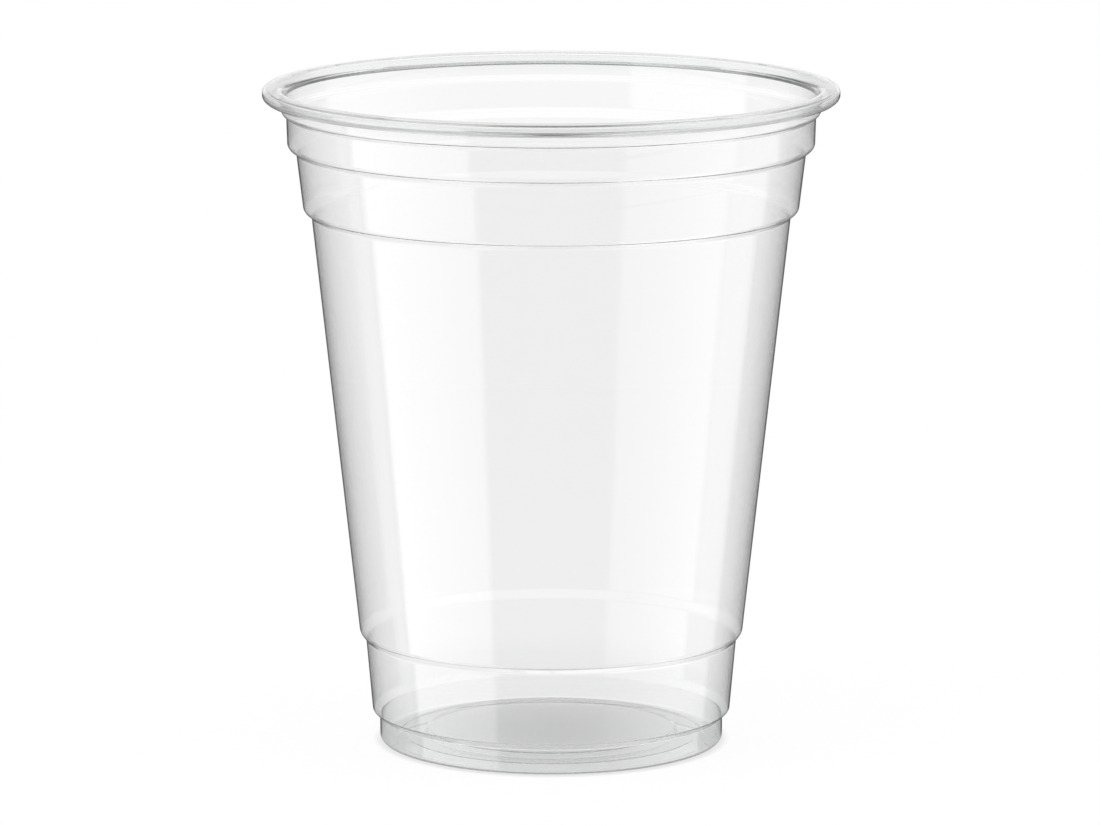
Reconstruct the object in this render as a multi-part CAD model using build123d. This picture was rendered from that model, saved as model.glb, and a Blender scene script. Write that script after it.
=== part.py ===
from build123d import *
import os
from math import cos, radians, tan

# A clear thermoformed cold-drink cup with a rolled rim, stacking ledges and a raised floor.
# Lengths are in millimetres and angles in degrees. The axis is Z and the foot stands on Z = 0.

# Sheet
wall = 0.3

# Rim, with its outer side tucked in below
rim_diameter = 98.0
rim_overhang = 3.22
rim_depth = 2.26
crown_slope = 5.0
crown_round = 5.15
curl_side = 0.76
curl_round = 0.53
throat_round = 1.0
tuck_slope = 38.0
curl_return = 0.85

# Collar that the lid snaps under
collar_height = 1.92
collar_step = 0.85
collar_slope_height = 0.72

# Bands, from the neck down to the foot
neck_height = 5.1
neck_draft = 1.7
neck_ledge = 1.36
shoulder_height = 10.85
shoulder_draft = 6.8
shoulder_ledge = 1.25
body_height = 73.1
body_draft = 6.26
body_ledge = 0.93
base_height = 13.6
base_draft = 5.13
base_ledge = 1.24
foot_height = 5.45
foot_draft = 0.3

# Corners of the ledges: inside of the sheet where it bulges out, outside where it turns in
bulge_round = 0.35
hollow_round = 0.3

# Foot ring, and the floor inside it: a slope, a flat band and a step up to the middle panel
foot_round = 0.85
ring_width = 2.6
ring_round = 0.6
ring_slope_width = 1.5
floor_rise = 0.9
floor_band_width = 3.7
panel_step = 0.8
panel_draft = 35.0

os.makedirs("parts", exist_ok=True)


def inward(draft, height):
    """How much the radius shrinks on the way down a band."""
    return height * tan(radians(draft))


# Heights of the ledges above the standing plane, from the foot up
base_level = foot_height
body_level = base_level + base_height
shoulder_level = body_level + body_height
neck_level = shoulder_level + shoulder_height
collar_level = neck_level + neck_height
bead_level = collar_level + collar_slope_height + collar_height
cup_height = bead_level + rim_depth

# Outside radii at the two ends of each band, from the collar down
collar_radius = rim_diameter / 2 - rim_overhang
neck_top_radius = collar_radius - collar_step
neck_foot_radius = neck_top_radius - inward(neck_draft, neck_height)
shoulder_top_radius = neck_foot_radius - neck_ledge
shoulder_foot_radius = shoulder_top_radius - inward(shoulder_draft, shoulder_height)
body_top_radius = shoulder_foot_radius - shoulder_ledge
body_foot_radius = body_top_radius - inward(body_draft, body_height)
base_top_radius = body_foot_radius - body_ledge
base_foot_radius = base_top_radius - inward(base_draft, base_height)
foot_top_radius = base_foot_radius - base_ledge
foot_radius = foot_top_radius - inward(foot_draft, foot_height)
ring_inner_radius = foot_radius - ring_width
floor_radius = ring_inner_radius - ring_slope_width
step_radius = floor_radius - floor_band_width
panel_radius = step_radius - inward(panel_draft, panel_step)


def held_rounds(wanted, lengths, room):
    """Radii of two corners in a row, made smaller if the stretch between them is too short."""
    needed = sum(radius * length for radius, length in zip(wanted, lengths))
    share = min(1.0, 0.98 * room / needed)
    return [share * radius for radius in wanted]


def ledge_rounds(depth):
    """Radii of a ledge's inner and outer corner."""
    return held_rounds([hollow_round, wall + bulge_round], [1, 1], depth)


def floor_path():
    """Underside of the floor and the foot ring, from the axis out to the foot's corner."""
    points = [
        (0, floor_rise + panel_step),
        (panel_radius, floor_rise + panel_step),
        (step_radius, floor_rise),
        (floor_radius, floor_rise),
        (ring_inner_radius, 0),
        (foot_radius, 0),
    ]
    rounds = held_rounds([hollow_round, wall + bulge_round], [1, 1], panel_step)
    return points, rounds + [hollow_round, ring_round, foot_round]


def wall_path():
    """Outside of the side wall, ledge by ledge from the foot to the collar."""
    points = [
        (foot_top_radius, base_level),
        (base_foot_radius, base_level),
        (base_top_radius, body_level),
        (body_foot_radius, body_level),
        (body_top_radius, shoulder_level),
        (shoulder_foot_radius, shoulder_level),
        (shoulder_top_radius, neck_level),
        (neck_foot_radius, neck_level),
        (neck_top_radius, collar_level),
        (collar_radius, collar_level + collar_slope_height),
    ]
    rounds = ledge_rounds(base_ledge) + ledge_rounds(body_ledge)
    rounds += ledge_rounds(shoulder_ledge) + ledge_rounds(neck_ledge)
    rounds += [hollow_round, wall + bulge_round]
    return points, rounds


def curl_path():
    """Inner side of the rolled rim: up the throat, over the crown, down its side and tucked in."""
    outer_radius = rim_diameter / 2 - wall
    crown_radius = (collar_radius + outer_radius) / 2
    crown_lift = crown_round * (1 / cos(radians(crown_slope)) - 1)
    crown_level = cup_height - wall + crown_lift
    side_level = crown_level - (outer_radius - crown_radius) * tan(radians(crown_slope))
    tuck_level = side_level - curl_side
    curl_level = bead_level + wall
    tuck_radius = outer_radius - (tuck_level - curl_level) / tan(radians(tuck_slope))
    points = [
        (collar_radius, side_level),
        (crown_radius, crown_level),
        (outer_radius, side_level),
        (outer_radius, tuck_level),
        (tuck_radius, curl_level),
        (tuck_radius - curl_return, curl_level),
    ]
    turns = [90 - crown_slope, 90 - tuck_slope]
    lengths = [tan(radians(turn / 2)) for turn in turns]
    side_rounds = held_rounds([curl_round, curl_round], lengths, curl_side)
    return points, [throat_round, crown_round] + side_rounds + [curl_round]


def outside_path():
    """The whole outside line of the sheet, from the floor's centre to the end of the curl."""
    points = []
    rounds = []
    for stretch in (floor_path(), wall_path(), curl_path()):
        points += stretch[0]
        rounds += stretch[1]
    return FilletPolyline(*points, radius=rounds)


def cup_section():
    """Half section of the sheet: the outside line thickened by the wall towards the drink."""
    return make_face(Plane.XZ * offset(outside_path(), amount=wall, side=Side.LEFT, closed=True))


cup = revolve(cup_section(), axis=Axis.Z)
cup.label = "cup"
export_step(cup, "parts/cup.step")

box = cup.bounding_box()
print(f"cup: {box.size.X:.2f} x {box.size.Y:.2f} x {box.size.Z:.2f} mm, bottom at {box.min.Z:.3f}")
print(f"solids {len(cup.solids())}, volume {cup.volume / 1000:.2f} cm3, valid {cup.is_valid}")
print(f"radii: foot {foot_radius:.2f}, body {body_foot_radius:.2f} to {body_top_radius:.2f}")
print(f"raised panel of the floor: {panel_radius:.2f}, foot ring: {ring_inner_radius:.2f} inside")
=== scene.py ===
# %% [markdown]
# A clear cold-drink cup, set on a white sweep. The cup is one sheet of clear plastic, blown into a mould
# and rolled over at the rim. Clear things are hard to show, because what we see is not the plastic but what
# it mirrors and how it bends light. So this lesson spends as much care on what stands around the cup as on
# the cup itself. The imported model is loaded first. It fixes the size and place of everything that follows.

from math import cos, pi, radians, tan

import bmesh
import bpy
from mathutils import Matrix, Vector
from mathutils.bvhtree import BVHTree


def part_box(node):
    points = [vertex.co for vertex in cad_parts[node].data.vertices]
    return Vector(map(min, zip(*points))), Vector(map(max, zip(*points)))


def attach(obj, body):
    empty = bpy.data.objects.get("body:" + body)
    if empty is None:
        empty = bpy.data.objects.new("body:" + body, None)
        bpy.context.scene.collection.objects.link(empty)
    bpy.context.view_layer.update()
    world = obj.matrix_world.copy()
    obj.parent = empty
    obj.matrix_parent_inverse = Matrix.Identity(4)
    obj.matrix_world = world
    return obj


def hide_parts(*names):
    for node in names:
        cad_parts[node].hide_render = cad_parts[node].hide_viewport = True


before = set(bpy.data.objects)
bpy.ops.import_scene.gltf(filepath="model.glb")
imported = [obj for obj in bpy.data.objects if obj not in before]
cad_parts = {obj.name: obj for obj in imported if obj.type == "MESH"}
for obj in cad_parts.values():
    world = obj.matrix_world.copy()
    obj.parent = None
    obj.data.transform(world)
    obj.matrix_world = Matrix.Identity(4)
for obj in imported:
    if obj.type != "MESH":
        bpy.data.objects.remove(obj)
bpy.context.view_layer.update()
mm = 0.001
cup_low, cup_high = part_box("cup")
rim_radius = (cup_high.x - cup_low.x) / 2
cup_height = cup_high.z
print("cup:", round(rim_radius / mm, 2), "mm radius,", round(cup_height / mm, 2), "mm tall")

# %% [markdown]
# The camera stands a little over a metre away with a long lens, as a product photographer's would, and
# looks down on the cup by about ten degrees. A long lens keeps the sides of the cup nearly straight and the
# rim a flat ellipse. Its focal length is held in pixels of the finished picture, and the width of the
# picture turns it into the millimetres that Blender asks for.

# %% Camera
picture_width = 1100
sensor_width = 36.0
focal_pixels = 6800
camera_place = Vector((-0.2, -1144.0, 263.4)) * mm
camera_tilt = radians(10.24)

bpy.ops.object.camera_add(location=camera_place, rotation=(pi / 2 - camera_tilt, 0, 0))
camera = bpy.context.object
camera.name = "portrait_camera"
camera.data.sensor_fit = "HORIZONTAL"
camera.data.sensor_width = sensor_width
camera.data.lens = focal_pixels * sensor_width / picture_width
camera.data.clip_start = 0.05
camera.data.clip_end = 20
bpy.context.scene.camera = camera
bpy.context.scene.view_settings.view_transform = "Standard"
print("lens:", round(camera.data.lens, 1), "mm")

# %% [markdown]
# Light crosses the cup's wall four times or more before it reaches the camera, and each crossing is a
# bounce to Cycles. Light that enters the sheet at a ledge or at the rim is piped on inside it, as in a
# glass fibre, and can need over a hundred bounces to come out. Where the limit cuts it off the picture
# turns dark, so the limit is as high as the time for a render allows.

# %% Light paths
bounce_limit = 128
see_through_limit = 24

cycles = bpy.context.scene.cycles
cycles.max_bounces = bounce_limit
cycles.transmission_bounces = bounce_limit
cycles.glossy_bounces = bounce_limit
cycles.transparent_max_bounces = see_through_limit
cycles.blur_glossy = 0.0
cycles.use_denoising = True
print("bounces:", cycles.max_bounces)

# %% [markdown]
# Materials and the sky are made of nodes. Shader maths reads best as plain formulas, so a small class wraps
# a socket: an expression on wrapped sockets adds the Math nodes that work it out. The sketch pad adds every
# other node with one method, which sets the node's settings first and then fills its sockets.

# %% Formulas for nodes
class Wire:
    """A socket that can be used in a formula."""

    def __init__(self, pad, socket):
        self.pad = pad
        self.socket = socket

    def maths(self, operation, *others):
        """Adds one Math node, with this socket as its first value."""
        return self.pad.add("ShaderNodeMath", {"operation": operation}, [self, *others])

    def __add__(self, other):
        return self.maths("ADD", other)

    def __sub__(self, other):
        return self.maths("SUBTRACT", other)

    def __mul__(self, other):
        return self.maths("MULTIPLY", other)

    def __truediv__(self, other):
        return self.maths("DIVIDE", other)

    def __rsub__(self, other):
        return self.pad.add("ShaderNodeMath", {"operation": "SUBTRACT"}, [other, self])

    def __gt__(self, other):
        return self.maths("GREATER_THAN", other)

    __radd__ = __add__
    __rmul__ = __mul__


class Pad:
    """A material's or the world's node tree, cleared and ready to draw on."""

    def __init__(self, tree):
        self.tree = tree
        tree.nodes.clear()

    def add(self, kind, settings=None, takes=(), gives=0):
        """Adds one node and returns the wire it gives. takes is a list, or a dict of socket names."""
        node = self.tree.nodes.new(kind)
        for name, value in (settings or {}).items():
            setattr(node, name, value)
        pairs = takes.items() if isinstance(takes, dict) else enumerate(takes)
        for name, value in pairs:
            if isinstance(value, Wire):
                self.tree.links.new(value.socket, node.inputs[name])
            elif value is not None:
                node.inputs[name].default_value = value
        return Wire(self, node.outputs[gives]) if len(node.outputs) else node

    def step(self, value, start, end):
        """0 before start and 1 after end, with a soft ramp between."""
        settings = {"interpolation_type": "SMOOTHSTEP", "clamp": True}
        return self.add("ShaderNodeMapRange", settings, {"Value": value, "From Min": start, "From Max": end})

    def light_path(self, question):
        """What Cycles knows of the ray that asks."""
        return self.add("ShaderNodeLightPath", gives=question)

    def counted(self, depth):
        """1 once the ray has made a bounce of the kind that the depth counts, and 0 before."""
        return self.light_path(depth) > 0.5


print("node helpers are ready")

# %% [markdown]
# Around the cup stands a studio that only the cup sees. A large window light is on the left, with one hard
# edge towards the camera: that edge is the upright line that runs down the whole cup. A dimmer light on the
# right fades in slowly. Grey cards stand behind the cup on both sides and draw its outlines, and between
# them is the white backdrop. The near wall leans back, so it mirrors what lies just below the horizon, the
# far wall mirrors what is level with it, and the ledges, the floor and the rounded rim mirror the rest. So
# each part of the studio has five levels of brightness, from the table up to the ceiling. The studio isn't
# searched as a lamp would be, because nearly every ray finds it straight or by way of the plastic, and the
# search would only take time.

# %% The studio around the cup
paper_white = 1.0
room_light = 0.55

# Brightness of the table, just below the horizon, level with it, above it and overhead
front = (0.1, 0.06, 0.42, 0.3, 1.0)
window_far = (1.1, 1.2, 1.05, 0.7, 1.0)
window_near = (0.5, 0.85, 0.98, 0.5, 1.0)
fill = (1.1, 0.95, 0.95, 0.85, 1.0)
cards = (0.6, 0.38, 0.66, 0.7, 1.0)
backdrop = (0.95, 0.1, 1.03, 0.8, 1.1)

# Angles in degrees, from the camera's side, with the window on the left
window_edges = (-97.0, -36.0)
window_softness = (6.0, 5.0)
fill_start = 25.0
fill_full = 105.0
fill_end = 118.0
cards_start = 100.0
backdrop_start = 165.0
edge_softness = 6.0
table_edge = (-28.0, -23.0)
below_horizon = (-7.0, -1.0)
above_horizon = (5.0, 9.0)
ceiling_edge = (22.0, 30.0)


def studio(pad):
    """How bright the studio is in each direction."""
    direction = pad.add("ShaderNodeTexCoord", gives="Generated")
    across, along, up = (pad.add("ShaderNodeSeparateXYZ", takes=[direction], gives=axis) for axis in "XYZ")
    degree = 180 / pi
    azimuth = across.maths("ARCTAN2", along * -1) * degree
    aside = azimuth.maths("ABSOLUTE")
    height = up.maths("ARCSINE") * degree
    steps = [pad.step(height, *edges) for edges in (table_edge, below_horizon, above_horizon, ceiling_edge)]

    def edge(angle, place, softness):
        """A soft edge with its middle at place."""
        return pad.step(angle, place - softness / 2, place + softness / 2)

    def by_height(levels):
        """Climbs from the first of five levels, the table, to the last, the ceiling."""
        brightness = levels[0]
        for lower, upper, climb in zip(levels, levels[1:], steps):
            brightness = brightness + (upper - lower) * climb
        return brightness

    window_start = edge(azimuth, window_edges[0], window_softness[0])
    window_end = edge(azimuth, window_edges[1], window_softness[1])
    nearness = (azimuth - window_edges[0]) / (window_edges[1] - window_edges[0])
    window = by_height(window_far) * (1 - nearness) + by_height(window_near) * nearness
    fill_in = pad.step(azimuth, fill_start, fill_full) * (1 - edge(azimuth, fill_end, edge_softness))
    behind = edge(aside, cards_start, edge_softness)
    far_back = edge(aside, backdrop_start, edge_softness)

    level = by_height(front)
    for patch, brightness in (
        (behind, by_height(cards)),
        (far_back, by_height(backdrop)),
        (window_start * (1 - window_end), window),
        (fill_in, by_height(fill)),
    ):
        level = level * (1 - patch) + brightness * patch
    return level


world = bpy.data.worlds.new("studio")
bpy.context.scene.world = world
world.use_nodes = True
world.cycles.sampling_method = "NONE"
pad = Pad(world.node_tree)
mirrored = pad.counted("Glossy Depth")
scattered = pad.counted("Diffuse Depth")
seen = mirrored * studio(pad) + (1 - mirrored) * paper_white
level = scattered * room_light + (1 - scattered) * seen
background = pad.add("ShaderNodeBackground", takes={"Color": (1, 1, 1, 1), "Strength": level})
pad.add("ShaderNodeOutputWorld", takes={"Surface": background})
print("studio nodes:", len(world.node_tree.nodes))

# %% [markdown]
# Lamps give the floor its light and the cup its faint shadow. They are large and soft, at a level at which
# a pale surface comes out about as pale as it is written. The cup doesn't mirror them, because the studio
# already holds every highlight.

# %% Lamps
def softbox(name, place, size, power):
    """A square lamp that looks at the cup."""
    bpy.ops.object.light_add(type="AREA", location=place)
    lamp = bpy.context.object
    lamp.name = name
    lamp.data.size = size
    lamp.data.energy = power
    aim = Vector((0, 0, cup_height / 2)) - Vector(place)
    lamp.rotation_euler = aim.to_track_quat("-Z", "Y").to_euler()
    lamp.visible_camera = False
    lamp.visible_glossy = False
    lamp.visible_transmission = False
    return lamp


lamps = [
    softbox("window_lamp", place=(-0.9, -0.5, 1.0), size=0.9, power=6.6),
    softbox("fill_lamp", place=(0.9, -0.3, 0.9), size=0.9, power=4.2),
    softbox("top_lamp", place=(0.0, 0.3, 1.3), size=1.0, power=4.0),
]
print("lamps:", [lamp.name for lamp in lamps])

# %% [markdown]
# The floor is white paper. To the camera most of its brightness is written in, and the rest comes from the
# lamps, so a soft shadow stays under the foot. It runs out into plain white well before the picture's edge.
# Under the cup a shade is painted into the paper's written-in brightness, darkest a little behind the
# middle. This painted shade runs out sooner towards the sides than to the front and back, as if the window
# and the fill light got in there. The rays that the cup mirrors see the painted shade darker still. From
# below it is clear, so that the cup can be looked at from underneath.

# %% Floor
floor_size = 6.0
floor_drop = 0.1 * mm
paper_color = (0.98, 0.98, 0.98, 1)
paper_share = 0.85
shadow_reach = 0.35
# Painted shade under the cup, and the reach, place and side stretch that shape it
painted_shade_middle = 0.56
painted_shade_edge = 0.8
mirrored_painted_shade = 0.45
painted_shade_radius = 30 * mm
painted_shade_reach = 36 * mm
darkest_painted_shade_place = (0, 6 * mm, 0)
painted_side_light = (1.6, 1, 1)


def paper():
    """White paper that keeps a shadow, with a painted shade under the cup that the cup mirrors; elsewhere it
    gives the cup nothing to mirror.
    """
    material = bpy.data.materials.new("paper_with_painted_shade")
    material.use_nodes = True
    pad = Pad(material.node_tree)
    lit = pad.add("ShaderNodeBsdfDiffuse", takes={"Color": paper_color})
    clear = pad.add("ShaderNodeBsdfTransparent")
    place = pad.add("ShaderNodeTexCoord", gives="Object")
    distance = pad.add("ShaderNodeVectorMath", {"operation": "LENGTH"}, [place], gives="Value")
    stretched = pad.add("ShaderNodeVectorMath", {"operation": "MULTIPLY"}, [place, painted_side_light])
    to_darkest = [stretched, darkest_painted_shade_place]
    off_darkest = pad.add("ShaderNodeVectorMath", {"operation": "DISTANCE"}, to_darkest, gives="Value")
    # Painted shade under the cup, darkest a little behind the middle and lighter sooner towards the sides
    painted_shade = painted_shade_middle + (painted_shade_edge - painted_shade_middle) * pad.step(off_darkest, 0, painted_shade_reach)
    open_paper = pad.step(distance, painted_shade_radius - mm, painted_shade_radius + mm)
    mirrored = pad.counted("Glossy Depth")
    # The painted shade is darker still for rays that the cup mirrors
    painted_shade = painted_shade * (1 - mirrored * (1 - mirrored_painted_shade))
    # The paper's written-in glow carries the painted shade inside its radius and is plain white outside
    glow_with_painted_shade = paper_white * (painted_shade + (1 - painted_shade) * open_paper)
    white = pad.add("ShaderNodeEmission", takes={"Color": (1, 1, 1, 1), "Strength": glow_with_painted_shade})
    away = pad.step(distance, shadow_reach / 2, shadow_reach)
    share = paper_share + (1 - paper_share) * away
    scattered = pad.counted("Diffuse Depth")
    surface = pad.add("ShaderNodeMixShader", takes=[share * (1 - scattered), lit, white])
    below = pad.add("ShaderNodeNewGeometry", gives="Backfacing")
    hidden = (mirrored * open_paper).maths("MAXIMUM", below)
    surface = pad.add("ShaderNodeMixShader", takes=[hidden, surface, clear])
    pad.add("ShaderNodeOutputMaterial", takes={"Surface": surface})
    return material


bpy.ops.object.select_all(action="DESELECT")
bpy.ops.mesh.primitive_plane_add(size=floor_size, location=(0, 0, -floor_drop))
floor = bpy.context.object
floor.name = "paper_floor"
bpy.ops.object.transform_apply(location=True)
floor.data.materials.append(paper())
print("floor:", floor_size, "m wide")

# %% [markdown]
# The real cup starts as a flat sheet that is blown into a mould, so every wall has the same outline inside
# and out. A lathe-like build suits it: draw half of the section once as a line, round its corners, spin it
# about the axis and give it the sheet's thickness. The line below runs from the end of the rim's curl over
# the rim, down the wall ledge by ledge, round the foot and in to the middle of the floor. Each corner is a
# radius, a height and a round. Each ledge slopes down as it steps in, so that it shows as a broad soft
# line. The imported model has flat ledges. From the side both have nearly the same outline, because a ledge's
# edge hides most of its slope.

# %% The corners of the section
wall = 0.3 * mm
rim_wall = 0.55 * mm
bulge_round = 0.35 * mm + wall
hollow_round = 0.3 * mm

rim_overhang = 3.22 * mm
rim_depth = 2.26 * mm
crown_slope = radians(5)
crown_round = 5.15 * mm
curl_side = 0.76 * mm
curl_round = 0.53 * mm
throat_round = 1.0 * mm
tuck_slope = radians(38)
curl_return = 0.85 * mm

collar_height = 1.92 * mm
collar_step = 0.85 * mm
collar_slope_height = 0.72 * mm

base_height = 13.6 * mm
foot_height = 5.45 * mm

# Each band, from the neck down: its height, its draft in degrees, how far the ledge under it steps in, how
# far that ledge slopes down, and the rounds at the ledge's edge and at its foot
neck = (5.1 * mm, 1.7, 1.36 * mm, 1.1 * mm, 1.1 * mm, 0.7 * mm)
shoulder = (10.85 * mm, 6.8, 1.25 * mm, 1.1 * mm, 1.1 * mm, 0.7 * mm)
body = (73.1 * mm, 6.26, 0.93 * mm, 1.3 * mm, 1.3 * mm, 0.8 * mm)
base = (base_height, 5.13, 1.24 * mm, 1.1 * mm, 0.4 * mm, 0.1 * mm)
foot = (foot_height, 0.3, 0.0, 0.0, 0.0, 0.0)

foot_round = 0.85 * mm
ring_width = 2.6 * mm
ring_round = 0.6 * mm
ring_slope_width = 1.5 * mm
floor_rise = 0.9 * mm
floor_band_width = 3.7 * mm
panel_step = 0.8 * mm
panel_draft = radians(35)
round_fill = 0.98


def rim_corners(collar_radius):
    """The rolled rim, from the end of its curl: out, up its side, over the crown and down the throat."""
    thicker = rim_wall - wall
    outer = rim_radius - rim_wall
    crown = (collar_radius + outer) / 2
    lift = (crown_round - thicker) * (1 / cos(crown_slope) - 1)
    top = cup_height - rim_wall + lift
    side = top - (outer - crown) * tan(crown_slope)
    tuck = side - curl_side
    bottom = cup_height - rim_depth + rim_wall
    tuck_radius = outer - (tuck - bottom) / tan(tuck_slope)
    return [
        (tuck_radius - curl_return, bottom, 0),
        (tuck_radius, bottom, curl_round - thicker),
        (outer, tuck, curl_round - thicker),
        (outer, side, curl_round - thicker),
        (crown, top, crown_round - thicker),
        (collar_radius, side, throat_round),
    ]


def band_corners(radius, height):
    """The bands from the neck down, each with its ledge, and the radius where the foot ends."""
    corners = []
    drop_above = 0
    for band_height, draft, ledge, drop, edge_round, ledge_foot_round in (neck, shoulder, body, base, foot):
        slope = tan(radians(draft))
        if drop_above:
            corners.append((radius - drop_above * slope, height - drop_above, round_above))
        radius -= band_height * slope
        height -= band_height
        if ledge:
            corners.append((radius, height, edge_round))
        radius -= ledge
        drop_above = drop
        round_above = ledge_foot_round
    return corners, radius


def floor_corners(foot_radius):
    """The foot ring, the slope inside it, a flat band and the step up to the middle panel."""
    ring_inside = foot_radius - ring_width
    slope_top = ring_inside - ring_slope_width
    step_foot = slope_top - floor_band_width
    panel = step_foot - panel_step * tan(panel_draft)
    # Both rounds of the short step are made smaller where they would meet half way up
    share = min(1, round_fill * panel_step / (hollow_round + bulge_round))
    return [
        (foot_radius, 0, foot_round),
        (ring_inside, 0, ring_round),
        (slope_top, floor_rise, hollow_round),
        (step_foot, floor_rise, bulge_round * share),
        (panel, floor_rise + panel_step, hollow_round * share),
        (0, floor_rise + panel_step, 0),
    ]


def section_corners():
    """The outside line of the sheet, from the end of the curl to the middle of the floor."""
    collar_radius = rim_radius - rim_overhang
    collar_foot = cup_height - rim_depth - collar_height
    neck_top = collar_foot - collar_slope_height
    corners = rim_corners(collar_radius)
    corners.append((collar_radius, collar_foot, bulge_round))
    corners.append((collar_radius - collar_step, neck_top, hollow_round))
    bands, foot_radius = band_corners(collar_radius - collar_step, neck_top)
    return corners + bands + floor_corners(foot_radius)


corners = section_corners()
print("corners:", len(corners))

# %% [markdown]
# The line is drawn as by hand: one point is extruded from corner to corner. Then each corner is picked by
# its place and bevelled as a point, which turns it into an arc. The bevel asks how far back the arc starts
# along both sides, and that is the round times the tangent of half the turn.

# %% Draw and round the line
arc_steps = 8


def start_point(place):
    """A plane merged to the one point that the line starts from."""
    bpy.ops.object.select_all(action="DESELECT")
    bpy.ops.mesh.primitive_plane_add(size=mm, location=place)
    bpy.ops.object.transform_apply(location=True)
    bpy.ops.object.mode_set(mode="EDIT")
    bpy.ops.mesh.select_all(action="SELECT")
    bpy.ops.mesh.merge(type="CENTER")
    return bpy.context.object


def pick_point(piece, place):
    """Selects the one point of the mesh that lies at place."""
    mesh = bmesh.from_edit_mesh(piece.data)
    nearest = min(mesh.verts, key=lambda vertex: (vertex.co - place).length)
    for vertex in mesh.verts:
        vertex.select_set(vertex == nearest)
    mesh.select_flush_mode()
    bmesh.update_edit_mesh(piece.data)


def round_corner(piece, before, corner, after, radius):
    """Turns one corner of the line into an arc."""
    turn = (corner - before).angle(after - corner)
    pick_point(piece, corner)
    setback = radius * tan(turn / 2)
    bpy.ops.mesh.bevel(offset=setback, segments=arc_steps, affect="VERTICES", clamp_overlap=False)


places = [Vector((radius, 0, height)) for radius, height, arc in corners]
cup = start_point(places[0])
cup.name = "clear_cup"
for previous, place in zip(places, places[1:]):
    bpy.ops.mesh.extrude_region_move(TRANSFORM_OT_translate={"value": place - previous})
for index in range(1, len(corners) - 1):
    round_corner(cup, *places[index - 1:index + 2], corners[index][2])
bpy.ops.object.mode_set(mode="OBJECT")
print("points on the line:", len(cup.data.vertices))

# %% [markdown]
# Spin turns the line into a thin skin. The first and last copies meet, and all copies meet on the axis, so
# the doubles are merged before the normals are set. Solidify then grows the sheet's thickness towards the
# drink. The sheet is thickest at the rim, which was never pulled into the mould. A vertex group holds each
# point's share of the rim's thickness.

# %% Spin the line and give it its wall
around = 256
merge_gap = 0.001 * mm

bpy.ops.object.mode_set(mode="EDIT")
bpy.ops.mesh.select_all(action="SELECT")
bpy.ops.mesh.spin(steps=around, angle=2 * pi, center=(0, 0, 0), axis=(0, 0, 1))
bpy.ops.mesh.select_all(action="SELECT")
bpy.ops.mesh.remove_doubles(threshold=merge_gap)
bpy.ops.mesh.normals_make_consistent(inside=False)
bpy.ops.object.mode_set(mode="OBJECT")
outward = 0
for face in cup.data.polygons:
    outward += face.normal.dot(Vector((face.center.x, face.center.y, 0))) * face.area
if outward < 0:
    bpy.ops.object.mode_set(mode="EDIT")
    bpy.ops.mesh.flip_normals()
    bpy.ops.object.mode_set(mode="OBJECT")


def sheet_thickness(height):
    """How thick the sheet is at a height above the table."""
    if height > cup_height - rim_depth - collar_height + bulge_round:
        return rim_wall
    return wall


thickness = cup.vertex_groups.new(name="thickness")
for vertex in cup.data.vertices:
    thickness.add([vertex.index], sheet_thickness(vertex.co.z) / rim_wall, "REPLACE")
sheet = cup.modifiers.new("sheet", "SOLIDIFY")
sheet.thickness = rim_wall
sheet.vertex_group = thickness.name
sheet.thickness_vertex_group = 0
sheet.offset = -1
sheet.use_even_offset = True
sheet.use_quality_normals = True
bpy.ops.object.modifier_apply(modifier=sheet.name)
print("faces:", len(cup.data.polygons))

# %% [markdown]
# A long flat band next to a tiny round is a trap for smooth shading: the round's narrow faces would tilt
# the normals of the whole band. Weighted normals let the large face decide, so the bands stay true and only
# the rounds turn.

# %% Shade it smooth
smooth_angle = radians(50)

bpy.ops.object.shade_smooth_by_angle(angle=smooth_angle)
weigh = cup.modifiers.new("true_bands", "WEIGHTED_NORMAL")
weigh.mode = "FACE_AREA"
weigh.weight = 100
weigh.keep_sharp = True
bpy.ops.object.modifier_apply(modifier=weigh.name)
triangles = sum(len(face.vertices) - 2 for face in cup.data.polygons)
print("triangles:", triangles)

# %% [markdown]
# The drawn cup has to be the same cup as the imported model, so each of its points is measured to the nearest
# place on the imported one. They differ most where the ledges slope and in the thicker rim.

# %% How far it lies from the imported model
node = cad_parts["cup"]
solid = BVHTree.FromPolygons(
    [vertex.co for vertex in node.data.vertices], [face.vertices for face in node.data.polygons]
)
gaps = [solid.find_nearest(vertex.co)[3] for vertex in cup.data.vertices]
print("largest gap to the solid:", round(max(gaps) / mm, 3), "mm")

# %% [markdown]
# The plastic is clear and glossy. It bends light a little more than window glass, and it is blown in one
# pull, which leaves faint upright draw lines and a slow wave in the wall. Those only tilt the surface, so
# they go into the normal, and they fade out above the foot. The gloss is patchy with a slight haze, and the
# ring that the cup stands on is scuffed. Towards the rim, where the sheet is thicker, and towards the foot
# the plastic is a touch greyer. A lamp's ray passes straight through, as the thin sheet hardly dims it.

# %% Clear plastic
line_width = 1.2 * mm
line_length = 16 * mm
line_depth = 0.006 * mm
wave_size = 22 * mm
wave_depth = 0.018 * mm
smooth_gloss = 0.006
haze_size = 6 * mm
haze_depth = 0.012
speck_size = 0.7 * mm
scuff_height = 0.5 * mm
scuff_depth = 0.12
scuff_specks = (0.5, 0.65)
clear_color = (1.0, 1.0, 1.0, 1)
rim_and_foot_color = (0.95, 0.955, 0.955, 1)
lamp_color = (0.9, 0.9, 0.9, 1)


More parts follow.
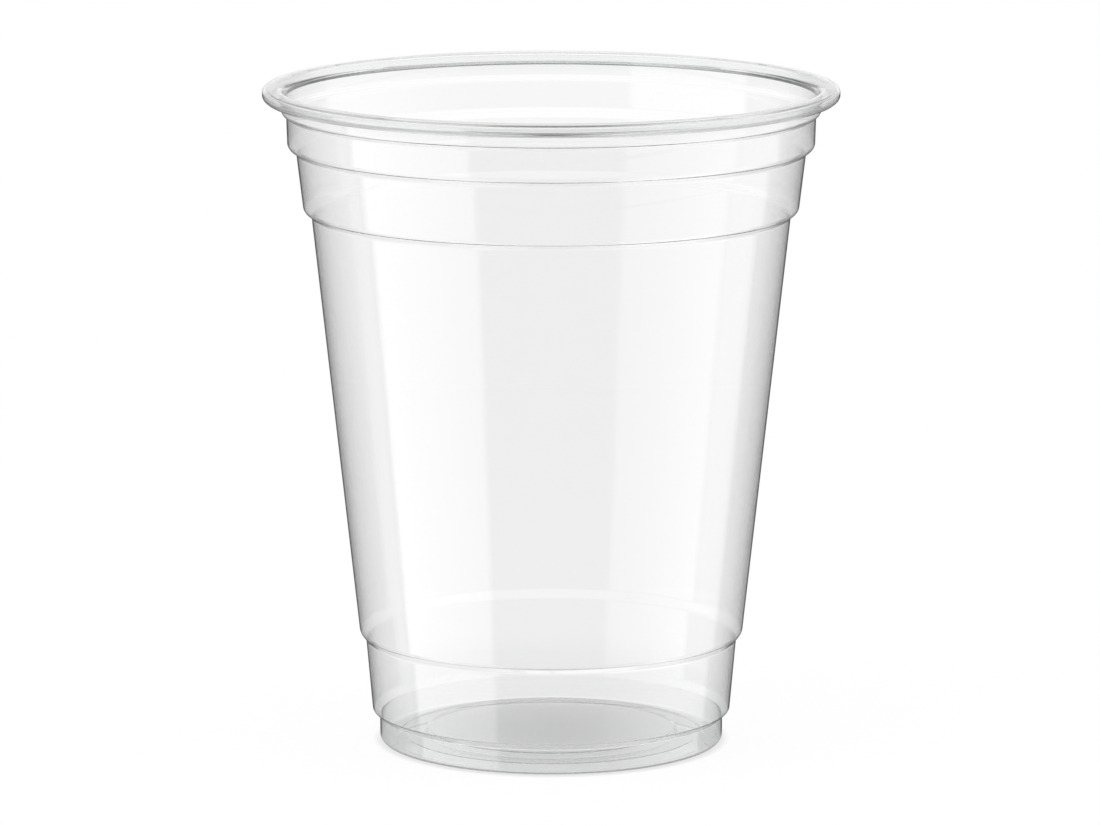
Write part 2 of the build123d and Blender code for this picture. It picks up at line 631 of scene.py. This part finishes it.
def clear_plastic():
    """Clear plastic that light bends through, with draw lines, haze and a scuffed standing ring."""
    material = bpy.data.materials.new("clear_plastic")
    material.use_nodes = True
    pad = Pad(material.node_tree)
    place = pad.add("ShaderNodeTexCoord", gives="Object")
    across, along, up = (pad.add("ShaderNodeSeparateXYZ", takes=[place], gives=axis) for axis in "XYZ")

    # Towards the rim and towards the foot the plastic is tinted a touch greyer
    rim_share = pad.step(up, cup_height - rim_depth - collar_height, cup_height - rim_depth)
    foot_share = 1 - pad.step(up, foot_height, foot_height + base_height / 2)
    rim_and_foot_share = rim_share.maths("MAXIMUM", foot_share)
    # A Mix node that mixes colours takes its factor at socket 0 and its colours at 6 and 7
    tints = {0: rim_and_foot_share, 6: clear_color, 7: rim_and_foot_color}
    color = pad.add("ShaderNodeMix", {"data_type": "RGBA"}, tints, gives=2)

    level = pad.add("ShaderNodeCombineXYZ", takes=[across, along])
    outwards = pad.add("ShaderNodeVectorMath", {"operation": "NORMALIZE"}, [level])
    across, along = (pad.add("ShaderNodeSeparateXYZ", takes=[outwards], gives=axis) for axis in "XY")
    lines_across = rim_radius / line_width
    drawn = pad.add("ShaderNodeCombineXYZ", takes=[
        across * lines_across, along * lines_across, up / line_length,
    ])
    lines = pad.add("ShaderNodeTexNoise", takes={
        "Vector": drawn, "Scale": 1.0, "Detail": 3.0, "Roughness": 0.6,
    })
    wave = pad.add("ShaderNodeTexNoise", takes={"Vector": place, "Scale": 1 / wave_size, "Detail": 1.0})
    relief = (lines + wave * (wave_depth / line_depth)) * (1 - foot_share)
    bump = pad.add("ShaderNodeBump", takes={"Height": relief, "Strength": 1.0, "Distance": line_depth})

    haze = pad.add("ShaderNodeTexNoise", takes={"Vector": place, "Scale": 1 / haze_size, "Detail": 4.0})
    specks = pad.add("ShaderNodeTexNoise", takes={"Vector": place, "Scale": 1 / speck_size, "Detail": 2.0})
    scuffed = (1 - pad.step(up, 0.0, scuff_height)) * pad.step(specks, *scuff_specks)
    roughness = smooth_gloss + haze * haze_depth + scuffed * scuff_depth

    sheet = pad.add("ShaderNodeBsdfPrincipled", takes={
        "Base Color": color,
        "Roughness": roughness,
        "IOR": 1.575,
        "Transmission Weight": 1.0,
        "Normal": bump,
    })
    lamp_ray = pad.light_path("Is Shadow Ray").maths("MAXIMUM", pad.light_path("Is Diffuse Ray"))
    pass_on = pad.add("ShaderNodeBsdfTransparent", takes={"Color": lamp_color})
    surface = pad.add("ShaderNodeMixShader", takes=[lamp_ray, sheet, pass_on])
    pad.add("ShaderNodeOutputMaterial", takes={"Surface": surface})
    return material


cup.data.materials.clear()
cup.data.materials.append(clear_plastic())
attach(cup, "root")
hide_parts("cup")
print("material:", cup.data.materials[0].name)
